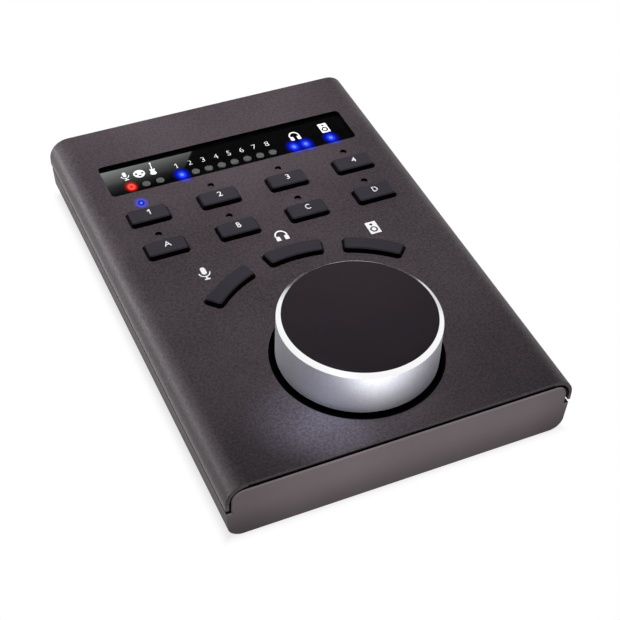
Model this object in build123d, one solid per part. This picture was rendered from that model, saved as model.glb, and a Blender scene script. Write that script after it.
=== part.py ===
"""Desktop studio monitor controller: a stepped housing tray under a wrap-over cover,
a lit display strip, eleven sprung keys and a large push-and-turn knob.

Millimetres and degrees. +X is the user's right, +Y points away from the user, +Z is up.
The origin is at the middle of the footprint, on the surface that the feet stand on.
"""
import os
from math import atan, degrees, sqrt

from build123d import *

# ---- Case ----
CASE_WIDTH = 100.0
CASE_LENGTH = 147.7
CASE_HEIGHT = 19.7            # underside of the housing to the top of the cover
FOOT_STANDOUT = 1.2           # how far the feet hold the housing off the table

# ---- Places along the case, as shares of its length behind the knob's axis ----
LETTERS_SHARE = 0.3913        # middle of the row of keys A to D
NUMBERS_SHARE = 0.4929        # middle of the row of keys 1 to 4
WINDOW_SHARE = 0.6256         # middle of the display window

# ---- Cover: one bent sheet with two skirts ----
COVER_WALL = 1.0
COVER_BEND_RADIUS = 6.0       # outside of the bend
COVER_SKIRT_DROP = 8.3        # top of the cover to the lower edge of the skirt
COVER_END_CHAMFER = 0.25

# ---- Housing: a stepped tray ----
HOUSING_FLOOR = 1.8
HOUSING_LIP_WALL = 1.6        # side wall above the step
HOUSING_END_WALL = 2.6
HOUSING_SIDE_INSET = 0.3      # lower side face behind the skirt's outer face
HOUSING_SIDE_LEAN = 0.4       # inward lean of the lower side face at the bottom bend
HOUSING_BOTTOM_RADIUS = 4.2
HOUSING_TOP_RADIUS = 3.6      # upper corners of the end walls
HOUSING_EDGE_CHAMFER = 0.35
HOUSING_CAVITY_RADIUS = 2.5
HOUSING_TONGUE_WALL = 1.2     # inner half of each end wall, raised to meet the cover
SHADOW_LINE = 1.6             # open height between the step and the skirt
COVER_SIDE_CLEARANCE = 0.7    # housing lip to the inside of the skirt
COVER_TOP_CLEARANCE = 1.3     # end wall to the inside of the cover
HOUSING_LIP_DROP = 3.1        # top of the side lips below the inside of the cover

# ---- Display ----
WINDOW_WIDTH = 80.2
WINDOW_DEPTH = 14.6
WINDOW_CORNER = 1.3
LENS_WALL = 1.0
LENS_OVERLAP = 1.5            # lens beyond the window on every side
LENS_BEND_GAP = 0.3           # least flat cover between the lens and the bend
TAPE_WALL = 0.1
TAPE_SETBACK = 0.2            # tape edge behind the window's edge
BAFFLE_INSET = 0.6            # baffle inside the lens outline
DOT_DROP = 2.4                # row of dots in front of the window's middle
DOT_RADIUS = 1.25
DOT_WALL = 0.8
DOT_CLEARANCE = 0.12
LEVEL_DOT_X = -16.15          # first dot of the row of eight
LEVEL_DOT_PITCH = 4.26
LEVEL_DOT_COUNT = 8
INPUT_DOT_X = (-32.2, -27.8, -23.4)
OUTPUT_DOT_X = (21.1, 25.0, 33.7)

# ---- Keys ----
KEY_HOLE_WIDTH = 12.8
KEY_HOLE_DEPTH = 7.2
KEY_HOLE_CORNER = 1.35
KEY_COLUMN_PITCH = 22.0
KEY_COLUMN_COUNT = 4
ARC_HOLE_INNER = 39.7         # radii about the knob's axis
ARC_HOLE_OUTER = 45.8
ARC_HOLE_HALF_ANGLE = 12.1
ARC_KEY_SPACING = 31.6
KEY_CLEARANCE = 0.3
KEY_TOP_INSET = 0.75          # key top inside its hole, clearance and draft together
KEY_STANDOUT = 1.5
KEY_EDGE_CHAMFER = 0.3
KEY_FLANGE = 0.7              # flange beyond the hole, under the cover
KEY_FLANGE_WALL = 1.0
KEY_FLANGE_CLEARANCE = 0.1
KEY_TRAVEL = 0.3              # plunger's way down into its switch
KEY_STEM_SIZE = 4.2

# ---- Lamps above the keys ----
LAMP_HOLE_RADIUS = 1.05
LAMP_OFFSET = 6.85            # lamp behind the middle of its key
LAMP_PIPE_SIZE = 3.2          # square light pipe that closes the hole from below
LAMP_AIR_GAP = 0.3            # between a light pipe and its LED

# ---- Knob ----
KNOB_RADIUS = 22.1
KNOB_LIFT = 0.4               # lower edge of the metal above the cover
KNOB_RIM_HEIGHT = 13.3        # cover to the outer edge of the bevel
KNOB_BEVEL_HEIGHT = 1.0
KNOB_BEVEL_WIDTH = 1.3
KNOB_WALL = 2.6
KNOB_WEB = 2.0
KNOB_FOOT_RADIUS = 0.4
DISC_CLEARANCE = 0.08
DISC_WALL = 0.5
DISC_SETBACK = 0.05           # disc top below the bevel's inner edge
HUB_FLANGE_SETBACK = 0.9      # flange edge behind the shell's side
HUB_FLANGE_WALL = 0.9
HUB_OPENING_RADIUS = 8.0
HUB_WALL = 1.3
HUB_CLEARANCE = 0.05
HUB_PRESSED_GAP = 0.6         # boss above the bushing with the knob pushed down
HUB_BOSS_RADIUS = 5.5
HUB_RIB_WALL = 1.2
HUB_RIB_COUNT = 6
KNOB_TRAVEL = 0.5

# ---- Well under the knob ----
KNOB_HOLE_GAP = 1.75          # knob's side to the edge of the cover's hole
WELL_FLOOR = 1.2
WELL_DEPTH = 1.6              # cover top to the well's floor
WELL_RING_WALL = 0.7
WELL_RING_CLEARANCE = 0.15
WELL_RING_SETBACK = 0.3
WELL_FLANGE = 3.2
WELL_END_GAP = 0.6            # well's flange to the housing's front wall

# ---- Encoder ----
ENCODER_WIDTH = 12.4
ENCODER_DEPTH = 13.4
ENCODER_CHAMBER_RADIUS = 5.4
ENCODER_FACE_WALL = 0.8
BUSHING_RADIUS = 3.5
BUSHING_LENGTH = 4.0
BUSHING_CLEARANCE = 0.15      # bushing in the well's hole
THREAD_CLEARANCE = 0.05
SHAFT_RADIUS = 3.0
SHAFT_CLEARANCE = 0.04
SHAFT_FLAT = 1.5              # depth of the D flat
SHAFT_ENGAGEMENT = 8.6        # shaft inside the hub's boss
WASHER_RADIUS = 5.8
WASHER_WALL = 0.5
NUT_ACROSS_FLATS = 10.0
NUT_WALL = 2.0
ROTOR_RADIUS = 5.0
ROTOR_WALL = 1.0
SLIDER_RADIUS = 3.6
SLIDER_WALL = 1.0

# ---- Circuit board ----
BOARD_WALL = 1.6
BOARD_TOP_DEPTH = 9.3         # cover top down to the upper face of the board
BOARD_EDGE_GAP = 1.5          # board edge to the housing lips
BOARD_END_GAP = 1.25
SWITCH_SIZE = 6.0
SWITCH_HEIGHT = 3.5
SWITCH_POCKET_FLOOR = 0.8
PLUNGER_SIZE = 3.2
PLUNGER_STANDOUT = 1.5
PLUNGER_SEAT_CLEARANCE = 0.9  # under a plunger pushed all the way down
PLUNGER_CLEARANCE = 0.1
LED_LENGTH = 1.6
LED_WIDTH = 0.8
LED_HEIGHT = 0.7

CHIP_SIDE_INSET = 11.2        # chips' middles from the board's side edges
CONTROLLER_SIZE = (10.0, 10.0, 1.4)
CONTROLLER_REACH = 7.6        # behind the knob's axis, also the memory
MEMORY_SIZE = (5.0, 6.2, 1.6)
CRYSTAL_SIZE = (4.8, 11.0, 3.2)
CRYSTAL_REACH = 19.6
REGULATOR_SIZE = (6.5, 3.5, 1.7)
REGULATOR_X = -14.0
SUPPLY_INSET = 4.0            # regulator and cans from the board's rear edge
CAN_RADIUS = 2.5
CAN_HEIGHT = 5.2
CAN_X = (11.0, 18.0)

# ---- Socket in the rear wall ----
USB_WIDTH = 7.7
USB_HEIGHT = 3.9
USB_LENGTH = 9.0
USB_WALL = 0.3
USB_SETBACK = 0.45            # socket's mouth behind the housing's rear face
USB_OPENING_MARGIN = 0.7
USB_TONGUE_WIDTH = 5.0
USB_TONGUE_WALL = 0.9
USB_TONGUE_SETBACK = 1.2

# ---- Fixings ----
POST_ACROSS_FLATS = 5.5
POST_SIDE_INSET = 5.5         # posts' middles from the housing's inner side faces
POST_BOSS_RADIUS = 4.0
POST_BOSS_HEIGHT = 2.2        # boss above the housing's floor
POST_BORE_DEPTH = 9.0
POST_BOARD_CLEARANCE = 0.6
CASE_SCREW_RADIUS = 1.25
CASE_SCREW_HEAD_RADIUS = 2.7
CASE_SCREW_HEAD = 1.6
CASE_SCREW_RECESS = 1.9
CASE_SCREW_GRIP = 6.5         # screw inside the post
SCREW_CLEARANCE = 0.3
FRONT_STANDOFF_INSET = (12.7, 7.25)
REAR_STANDOFF_SIDE_INSET = 16.7
STANDOFF_ACROSS_FLATS = 5.0
BOARD_SCREW_RADIUS = 1.0
BOARD_SCREW_ACROSS_FLATS = 4.0
BOARD_SCREW_HEAD = 1.3
BOARD_SCREW_GRIP = 5.0
BOARD_SCREW_RUNOUT = 1.0      # thread beyond the end of the screw
FOOT_RADIUS = 6.0
FOOT_SIDE_INSET = 19.5        # feet's middles from the sides of the case
FOOT_END_INSET = 12.85
FOOT_RECESS = 0.5
FOOT_CLEARANCE = 0.1
FOOT_CHAMFER = 0.3

# ---- Levels that the sizes above set, all measured up from the table ----
base_z = FOOT_STANDOUT
cover_z = base_z + CASE_HEIGHT
cover_inside_z = cover_z - COVER_WALL
skirt_z = cover_z - COVER_SKIRT_DROP
step_z = skirt_z - SHADOW_LINE
floor_z = base_z + HOUSING_FLOOR
end_wall_z = cover_inside_z - COVER_TOP_CLEARANCE
lip_z = cover_inside_z - HOUSING_LIP_DROP
board_z = cover_z - BOARD_TOP_DEPTH
board_under_z = board_z - BOARD_WALL
lens_z = cover_inside_z - TAPE_WALL
lens_under_z = lens_z - LENS_WALL
well_floor_z = cover_z - WELL_DEPTH
encoder_z = well_floor_z - WELL_FLOOR
rotor_z = encoder_z - ENCODER_FACE_WALL - SHAFT_CLEARANCE - ROTOR_WALL
slider_z = rotor_z - SLIDER_WALL
nut_z = well_floor_z + WASHER_WALL
bushing_z = encoder_z + BUSHING_LENGTH
key_flange_z = cover_inside_z - KEY_FLANGE_CLEARANCE
plunger_z = board_z + SWITCH_HEIGHT + PLUNGER_STANDOUT
knob_foot_z = cover_z + KNOB_LIFT
knob_rim_z = cover_z + KNOB_RIM_HEIGHT
knob_top_z = knob_rim_z + KNOB_BEVEL_HEIGHT
disc_seat_z = knob_top_z - DISC_SETBACK - DISC_WALL
hub_top_z = disc_seat_z - KNOB_WEB
boss_foot_z = bushing_z + KNOB_TRAVEL + HUB_PRESSED_GAP
shaft_top_z = boss_foot_z + SHAFT_ENGAGEMENT
usb_z = board_z + USB_HEIGHT / 2
boss_z = floor_z + POST_BOSS_HEIGHT

# ---- Places that the sizes above set, seen from above ----
lip_half_width = CASE_WIDTH / 2 - COVER_WALL - COVER_SIDE_CLEARANCE
cavity_half_width = lip_half_width - HOUSING_LIP_WALL
cavity_half_length = CASE_LENGTH / 2 - HOUSING_END_WALL
board_half_width = cavity_half_width - BOARD_EDGE_GAP
board_half_length = cavity_half_length - BOARD_END_GAP
knob_hole_radius = KNOB_RADIUS + KNOB_HOLE_GAP
knob_y = knob_hole_radius + WELL_FLANGE + WELL_END_GAP - cavity_half_length
letters_y = knob_y + LETTERS_SHARE * CASE_LENGTH
numbers_y = knob_y + NUMBERS_SHARE * CASE_LENGTH
window_y = knob_y + WINDOW_SHARE * CASE_LENGTH
dot_y = window_y - DOT_DROP
lens_half_width = WINDOW_WIDTH / 2 + LENS_OVERLAP
lens_back_y = window_y + WINDOW_DEPTH / 2 + LENS_OVERLAP
cover_bend = min(COVER_BEND_RADIUS, CASE_WIDTH / 2 - lens_half_width - LENS_BEND_GAP)
arc_middle = (ARC_HOLE_INNER + ARC_HOLE_OUTER) / 2
usb_back_y = CASE_LENGTH / 2 - USB_SETBACK
chip_x = board_half_width - CHIP_SIDE_INSET
supply_y = board_half_length - SUPPLY_INSET
post_x = cavity_half_width - POST_SIDE_INSET
post_y = (lens_back_y + cavity_half_length) / 2
post_room = POST_ACROSS_FLATS / sqrt(3) + POST_BOARD_CLEARANCE
foot_x = CASE_WIDTH / 2 - FOOT_SIDE_INSET
foot_y = CASE_LENGTH / 2 - FOOT_END_INSET
first_column_x = -(KEY_COLUMN_COUNT - 1) / 2 * KEY_COLUMN_PITCH
key_columns = [first_column_x + i * KEY_COLUMN_PITCH for i in range(KEY_COLUMN_COUNT)]

QUARTER_TURN = 90.0
BOTTOM = (Align.CENTER, Align.CENTER, Align.MIN)


def column(radius, low, high):
    """Upright round bar between two levels."""
    return Pos(0, 0, low) * Cylinder(radius, high - low, align=BOTTOM)


def tube(outer, inner, low, high):
    """Upright round tube between two levels."""
    return column(outer, low, high) - column(inner, low, high)


def plate(outline, low, high):
    """Flat outline drawn out between two levels."""
    return Pos(0, 0, low) * extrude(outline, amount=high - low)


def hexagon(across_flats):
    """Hexagon given by its width across the flats."""
    return RegularPolygon(across_flats / 2, 6, major_radius=False)


def mirrored_spots(spots):
    """Each spot and its mirror image across the middle of the case."""
    return [(side * x, y) for x, y in spots for side in (1, -1)]


post_spots = mirrored_spots([(post_x, post_y), (post_x, -post_y)])
standoff_spots = mirrored_spots([
    ((key_columns[-1] + key_columns[-2]) / 2, (letters_y + numbers_y) / 2),
    (cavity_half_width - FRONT_STANDOFF_INSET[0], FRONT_STANDOFF_INSET[1] - cavity_half_length),
    (cavity_half_width - REAR_STANDOFF_SIDE_INSET, post_y)])
foot_spots = mirrored_spots([(foot_x, foot_y), (foot_x, -foot_y)])
level_dots = [LEVEL_DOT_X + i * LEVEL_DOT_PITCH for i in range(LEVEL_DOT_COUNT)]
all_dots = [*INPUT_DOT_X, *level_dots, *OUTPUT_DOT_X]
lamp_spots = [(x, y + LAMP_OFFSET) for y in (numbers_y, letters_y) for x in key_columns]


def rectangular_outline(inset):
    """Sharp outline of a rectangular key hole, drawn in by inset on every side."""
    return Rectangle(KEY_HOLE_WIDTH - 2 * inset, KEY_HOLE_DEPTH - 2 * inset)


def arc_outline(inset):
    """Sharp outline of an arc key hole about the knob's axis, its middle moved to the origin."""
    inner = ARC_HOLE_INNER + inset
    outer = ARC_HOLE_OUTER - inset
    half = ARC_HOLE_HALF_ANGLE - degrees(inset / arc_middle)
    far = CenterArc((0, 0), outer, QUARTER_TURN - half, 2 * half)
    near = CenterArc((0, 0), inner, QUARTER_TURN - half, 2 * half)
    ends = [Line(far @ 0, near @ 0), Line(far @ 1, near @ 1)]
    return Pos(0, -arc_middle) * make_face([far, near, *ends])


def rounded(outline, inset):
    """The outline drawn in by inset, with the key hole's round corners drawn in as well."""
    return fillet(outline(inset).vertices(), KEY_HOLE_CORNER - inset)


def arc_place(angle):
    """Where an arc key sits: on its circle about the knob, turned clockwise by angle."""
    return Pos(0, knob_y) * Rot(0, 0, -angle) * Pos(0, arc_middle)


key_outlines = {}
key_places = {}
for row_y, names in ((numbers_y, "1234"), (letters_y, "abcd")):
    for column_x, name in zip(key_columns, names):
        key_outlines[name] = rectangular_outline
        key_places[name] = Pos(column_x, row_y)
for turn, name in ((-1, "microphone"), (0, "headphones"), (1, "speaker")):
    key_outlines[name] = arc_outline
    key_places[name] = arc_place(turn * ARC_KEY_SPACING)


def section(points_and_arcs):
    """Face in the XZ plane from a list of edges drawn in X and Z."""
    return Plane.XZ * make_face(points_and_arcs)


def drawn_along_length(face):
    """The section drawn out over the whole length of the case."""
    return extrude(face, amount=CASE_LENGTH / 2, both=True)


def bent_strip(half_width, top, radius, low):
    """Upside-down U outline with rounded shoulders, closed along its lower edge."""
    shoulder = half_width - radius
    return [
        Line((half_width, low), (half_width, top - radius)),
        CenterArc((shoulder, top - radius), radius, 0, QUARTER_TURN),
        Line((shoulder, top), (-shoulder, top)),
        CenterArc((-shoulder, top - radius), radius, QUARTER_TURN, QUARTER_TURN),
        Line((-half_width, top - radius), (-half_width, low)),
        Line((-half_width, low), (half_width, low)),
    ]


def make_top_cover():
    """Bent sheet with the knob, key, lamp and window holes cut straight through."""
    half = CASE_WIDTH / 2
    outer = drawn_along_length(section(bent_strip(half, cover_z, cover_bend, skirt_z)))
    ends = outer.faces().sort_by(Axis.Y)
    rim = [edge for face in (ends[0], ends[-1]) for edge in face.edges()
           if edge.center().Z > skirt_z + COVER_END_CHAMFER]
    outer = chamfer(rim, COVER_END_CHAMFER)
    inner = drawn_along_length(section(bent_strip(
        half - COVER_WALL, cover_inside_z, cover_bend - COVER_WALL, skirt_z - COVER_WALL)))
    sheet = outer - inner
    holes = [window_frame(0), Pos(0, knob_y) * Circle(knob_hole_radius)]
    holes += [key_places[name] * rounded(key_outlines[name], 0) for name in key_places]
    holes += [Pos(x, y) * Circle(LAMP_HOLE_RADIUS) for x, y in lamp_spots]
    for hole in holes:
        sheet -= plate(hole, cover_inside_z - COVER_WALL, cover_z + COVER_WALL)
    return sheet


def housing_outline():
    """Outer section of the housing: bottom bends, step, then end walls with round corners."""
    wide = CASE_WIDTH / 2 - HOUSING_SIDE_INSET
    low = wide - HOUSING_SIDE_LEAN
    radius = HOUSING_BOTTOM_RADIUS
    bend_z = base_z + radius
    top = end_wall_z
    corner = HOUSING_TOP_RADIUS
    shoulder = lip_half_width - corner
    right = [
        CenterArc((low - radius, bend_z), radius, -QUARTER_TURN, QUARTER_TURN),
        Line((low, bend_z), (wide, step_z)),
        Line((wide, step_z), (lip_half_width, step_z)),
        Line((lip_half_width, step_z), (lip_half_width, top - corner)),
        CenterArc((shoulder, top - corner), corner, 0, QUARTER_TURN),
    ]
    left = [mirror(edge, about=Plane.YZ) for edge in right]
    caps = [
        Line((-shoulder, top), (shoulder, top)),
        Line((-(low - radius), base_z), (low - radius, base_z)),
    ]
    return [*right, *left, *caps]


def make_lower_housing():
    """Tray with an open top, screw bosses, foot recesses and the socket opening."""
    block = drawn_along_length(section(housing_outline()))
    ends = block.faces().sort_by(Axis.Y)
    block = chamfer([*ends[0].edges(), *ends[-1].edges()], HOUSING_EDGE_CHAMFER)
    tongues = section(bent_strip(
        lip_half_width, cover_inside_z, cover_bend - COVER_WALL, step_z))
    block += extrude(tongues, amount=cavity_half_length + HOUSING_TONGUE_WALL, both=True)
    hollow = plate(
        RectangleRounded(2 * cavity_half_width, 2 * cavity_half_length, HOUSING_CAVITY_RADIUS),
        floor_z, cover_z)
    tray = block - hollow
    tray -= plate(Rectangle(CASE_WIDTH, 2 * cavity_half_length), lip_z, cover_z)
    for x, y in post_spots:
        place = Pos(x, y)
        tray += place * column(POST_BOSS_RADIUS, floor_z, boss_z)
        tray -= place * column(CASE_SCREW_RADIUS + SCREW_CLEARANCE, base_z, boss_z)
        tray -= place * column(
            CASE_SCREW_HEAD_RADIUS + SCREW_CLEARANCE, base_z, base_z + CASE_SCREW_RECESS)
    for x, y in foot_spots:
        tray -= Pos(x, y) * column(FOOT_RADIUS + FOOT_CLEARANCE, base_z, base_z + FOOT_RECESS)
    mouth = RectangleRounded(
        USB_WIDTH + 2 * USB_OPENING_MARGIN, USB_HEIGHT + 2 * USB_OPENING_MARGIN,
        USB_OPENING_MARGIN)
    opening = extrude(Plane.XZ * mouth, amount=HOUSING_END_WALL, both=True)
    return tray - Pos(0, CASE_LENGTH / 2, usb_z) * opening


def window_frame(grow):
    """Outline of the window grown on every side."""
    return Pos(0, window_y) * RectangleRounded(
        WINDOW_WIDTH + 2 * grow, WINDOW_DEPTH + 2 * grow, WINDOW_CORNER + grow)


def make_display_lens():
    """Smoked window plate taped to the underside of the cover."""
    return plate(window_frame(LENS_OVERLAP), lens_under_z, lens_z)


def make_lens_tape():
    """Thin adhesive frame between the lens and the cover."""
    ring = window_frame(LENS_OVERLAP) - window_frame(TAPE_SETBACK)
    return plate(ring, lens_z, cover_inside_z)


def make_display_baffle():
    """Black block on the board that keeps each LED's light in its own channel."""
    block = plate(window_frame(LENS_OVERLAP - BAFFLE_INSET), board_z, lens_under_z)
    width = 2 * (DOT_RADIUS + DOT_CLEARANCE)
    channel = plate(Rectangle(width, width), board_z, lens_under_z)
    for x in all_dots:
        block -= Pos(x, dot_y) * channel
    return block


def make_dots(places):
    """Round diffusers that close the tops of the channels, against the lens."""
    disc = column(DOT_RADIUS, lens_under_z - DOT_WALL, lens_under_z)
    return Compound([Pos(x, dot_y) * disc for x in places])


def make_leds(spots):
    """Small LEDs soldered to the board."""
    chip = Pos(0, 0, board_z) * Box(LED_LENGTH, LED_WIDTH, LED_HEIGHT, align=BOTTOM)
    return Compound([Pos(x, y) * chip for x, y in spots])


def make_light_pipes(spots):
    """Clear bars that carry light from the board up to the lamp holes."""
    pipe = plate(
        Rectangle(LAMP_PIPE_SIZE, LAMP_PIPE_SIZE), board_z + LED_HEIGHT + LAMP_AIR_GAP,
        cover_inside_z)
    return Compound([Pos(x, y) * pipe for x, y in spots])


def make_key(outline, place):
    """Keycap: drafted crown through the cover, flange beneath it and a stem on the switch."""
    crown = Pos(0, 0, cover_z) * extrude(
        rounded(outline, KEY_CLEARANCE), amount=KEY_STANDOUT,
        taper=degrees(atan((KEY_TOP_INSET - KEY_CLEARANCE) / KEY_STANDOUT)))
    crown = chamfer(crown.faces().sort_by(Axis.Z)[-1].edges(), KEY_EDGE_CHAMFER)
    neck = plate(rounded(outline, KEY_CLEARANCE), key_flange_z, cover_z)
    flange = plate(outline(-KEY_FLANGE), key_flange_z - KEY_FLANGE_WALL, key_flange_z)
    stem = plate(
        Rectangle(KEY_STEM_SIZE, KEY_STEM_SIZE), plunger_z, key_flange_z - KEY_FLANGE_WALL)
    return place * (crown + neck + flange + stem)


def make_plunger(place):
    """Square plunger of one key switch, with room below it for its travel."""
    foot_z = board_z + SWITCH_POCKET_FLOOR + PLUNGER_SEAT_CLEARANCE + KEY_TRAVEL
    return place * plate(Rectangle(PLUNGER_SIZE, PLUNGER_SIZE), foot_z, plunger_z)


def make_switch_bodies():
    """Square key switches on the board, each open at the top for its plunger."""
    body = plate(Rectangle(SWITCH_SIZE, SWITCH_SIZE), board_z, board_z + SWITCH_HEIGHT)
    width = PLUNGER_SIZE + 2 * PLUNGER_CLEARANCE
    pocket = plate(
        Rectangle(width, width), board_z + SWITCH_POCKET_FLOOR, board_z + SWITCH_HEIGHT)
    return Compound([place * (body - pocket) for place in key_places.values()])


def make_main_board():
    """Circuit board hung from the cover, its corners cut away round the case posts."""
    outline = Rectangle(2 * board_half_width, 2 * board_half_length)
    notch = Rectangle(
        2 * (board_half_width - post_x + post_room), 2 * (board_half_length - post_y + post_room))
    for x, y in mirrored_spots(
            [(board_half_width, board_half_length), (board_half_width, -board_half_length)]):
        outline -= Pos(x, y) * notch
    board = plate(outline, board_under_z, board_z)
    for x, y in standoff_spots:
        board -= Pos(x, y) * column(
            BOARD_SCREW_RADIUS + SCREW_CLEARANCE / 2, board_under_z, board_z)
    return board


def make_chip(size, x, y):
    """Plain component body soldered to the upper face of the board."""
    return Pos(x, y, board_z) * Box(*size, align=BOTTOM)


def make_capacitors():
    """Upright cans beside the socket that smooth its supply."""
    can = column(CAN_RADIUS, board_z, board_z + CAN_HEIGHT)
    return Compound([Pos(x, supply_y) * can for x in CAN_X])


def make_encoder_case():
    """Square encoder body on the board with a round chamber for the rotor and slider."""
    case = plate(Rectangle(ENCODER_WIDTH, ENCODER_DEPTH), board_z, encoder_z)
    case -= column(
        ENCODER_CHAMBER_RADIUS, board_z + ENCODER_FACE_WALL, encoder_z - ENCODER_FACE_WALL)
    case -= column(SHAFT_RADIUS + SHAFT_CLEARANCE, encoder_z - ENCODER_FACE_WALL, encoder_z)
    return Pos(0, knob_y) * case


def make_encoder_shaft():
    """Steel shaft with a D flat where the knob's hub grips it."""
    shaft = column(SHAFT_RADIUS, rotor_z, shaft_top_z)
    flat = Pos(0, SHAFT_RADIUS - SHAFT_FLAT, boss_foot_z) * Box(
        2 * SHAFT_RADIUS, SHAFT_RADIUS, SHAFT_ENGAGEMENT,
        align=(Align.CENTER, Align.MIN, Align.MIN))
    return Pos(0, knob_y) * (shaft - flat)


def make_knob_shell():
    """Turned metal shell: plain side, polished bevel, seat for the disc, open underneath."""
    inner = KNOB_RADIUS - KNOB_WALL
    seat = KNOB_RADIUS - KNOB_BEVEL_WIDTH
    foot = KNOB_FOOT_RADIUS
    outline = Polyline(
        (inner, knob_foot_z), (KNOB_RADIUS - foot, knob_foot_z),
        (KNOB_RADIUS, knob_foot_z + foot), (KNOB_RADIUS, knob_rim_z),
        (seat, knob_top_z), (seat, disc_seat_z), (0, disc_seat_z), (0, hub_top_z),
        (inner, hub_top_z), close=True)
    return Pos(0, knob_y) * revolve(Plane.XZ * make_face(outline), Axis.Z)


def make_knob_disc():
    """Dark disc let into the top of the knob."""
    radius = KNOB_RADIUS - KNOB_BEVEL_WIDTH - DISC_CLEARANCE
    return Pos(0, knob_y) * column(radius, disc_seat_z, disc_seat_z + DISC_WALL)


def make_knob_hub():
    """Moulded hub: foot flange, ring that fits the shell, ribs and a boss with a D bore."""
    outer = KNOB_RADIUS - KNOB_WALL - HUB_CLEARANCE
    flange = tube(
        KNOB_RADIUS - HUB_FLANGE_SETBACK, HUB_OPENING_RADIUS, knob_foot_z - HUB_FLANGE_WALL,
        knob_foot_z)
    ring = tube(outer, outer - HUB_WALL, knob_foot_z, hub_top_z)
    boss = column(HUB_BOSS_RADIUS, boss_foot_z, hub_top_z)
    rib_length = outer - HUB_WALL / 2
    rib = Pos(0, 0, boss_foot_z) * Box(
        rib_length, HUB_RIB_WALL, hub_top_z - boss_foot_z,
        align=(Align.MIN, Align.CENTER, Align.MIN))
    hub = flange + ring + boss
    for index in range(HUB_RIB_COUNT):
        hub += Rot(0, 0, index * 360 / HUB_RIB_COUNT) * rib
    bore = column(SHAFT_RADIUS + SHAFT_CLEARANCE, boss_foot_z, shaft_top_z + SCREW_CLEARANCE)
    key_flat = Pos(0, SHAFT_RADIUS - SHAFT_FLAT + SHAFT_CLEARANCE, boss_foot_z) * Box(
        3 * SHAFT_RADIUS, SHAFT_RADIUS, hub_top_z - boss_foot_z,
        align=(Align.CENTER, Align.MIN, Align.MIN))
    return Pos(0, knob_y) * (hub - (bore - key_flat))


def make_knob_well():
    """Black dish under the knob, with a ring that lines the cover's hole."""
    ring_outer = knob_hole_radius - WELL_RING_CLEARANCE
    ring_inner = ring_outer - WELL_RING_WALL
    rim = knob_hole_radius + WELL_FLANGE
    hole = BUSHING_RADIUS + BUSHING_CLEARANCE
    outline = Polyline(
        (hole, encoder_z), (rim, encoder_z), (rim, cover_inside_z),
        (ring_outer, cover_inside_z), (ring_outer, cover_z - WELL_RING_SETBACK),
        (ring_inner, cover_z - WELL_RING_SETBACK), (ring_inner, well_floor_z),
        (hole, well_floor_z), close=True)
    return Pos(0, knob_y) * revolve(Plane.XZ * make_face(outline), Axis.Z)


def make_usb_shell():
    """Folded metal shell of the rear socket, open at its mouth."""
    outer = Rectangle(USB_WIDTH, USB_HEIGHT)
    inner = Rectangle(USB_WIDTH - 2 * USB_WALL, USB_HEIGHT - 2 * USB_WALL)
    tunnel = extrude(Plane.XZ * (outer - inner), amount=USB_LENGTH)
    return Pos(0, usb_back_y, usb_z) * tunnel


def make_usb_tongue():
    """Plastic back block of the socket with the contact tongue that the plug slides over."""
    reach = USB_LENGTH - USB_TONGUE_SETBACK
    block_depth = USB_LENGTH - reach + USB_TONGUE_WALL
    block = Pos(0, usb_back_y - USB_LENGTH, usb_z) * Box(
        USB_WIDTH - 2 * USB_WALL, block_depth, USB_HEIGHT - 2 * USB_WALL,
        align=(Align.CENTER, Align.MIN, Align.CENTER))
    tongue = Pos(0, usb_back_y - USB_LENGTH, usb_z) * Box(
        USB_TONGUE_WIDTH, reach, USB_TONGUE_WALL, align=(Align.CENTER, Align.MIN, Align.CENTER))
    return block + tongue


def make_cover_posts():
    """Tapped hexagonal posts fixed under the cover, standing on the housing's bosses."""
    post = plate(hexagon(POST_ACROSS_FLATS), boss_z, cover_inside_z) - column(
        CASE_SCREW_RADIUS + THREAD_CLEARANCE, boss_z, boss_z + POST_BORE_DEPTH)
    return Compound([Pos(x, y) * post for x, y in post_spots])


def make_case_screws():
    """Screws that go up through the housing into the posts."""
    seat_z = base_z + CASE_SCREW_RECESS
    head = column(CASE_SCREW_HEAD_RADIUS, seat_z - CASE_SCREW_HEAD, seat_z)
    screw = head + column(CASE_SCREW_RADIUS, seat_z, boss_z + CASE_SCREW_GRIP)
    return Compound([Pos(x, y) * screw for x, y in post_spots])


def make_board_standoffs():
    """Hexagonal spacers that hang the board from the cover."""
    standoff = plate(hexagon(STANDOFF_ACROSS_FLATS), board_z, cover_inside_z) - column(
        BOARD_SCREW_RADIUS + THREAD_CLEARANCE, board_z,
        board_z + BOARD_SCREW_GRIP + BOARD_SCREW_RUNOUT)
    return Compound([Pos(x, y) * standoff for x, y in standoff_spots])


def make_board_screws():
    """Screws that hold the board up against its spacers."""
    head = plate(
        hexagon(BOARD_SCREW_ACROSS_FLATS), board_under_z - BOARD_SCREW_HEAD, board_under_z)
    screw = head + column(BOARD_SCREW_RADIUS, board_under_z, board_z + BOARD_SCREW_GRIP)
    return Compound([Pos(x, y) * screw for x, y in standoff_spots])


def make_feet():
    """Rubber pads glued into shallow recesses under the housing."""
    pad = column(FOOT_RADIUS, 0, base_z + FOOT_RECESS)
    pad = chamfer(pad.faces().sort_by(Axis.Z)[0].edges(), FOOT_CHAMFER)
    return Compound([Pos(x, y) * pad for x, y in foot_spots])


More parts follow.
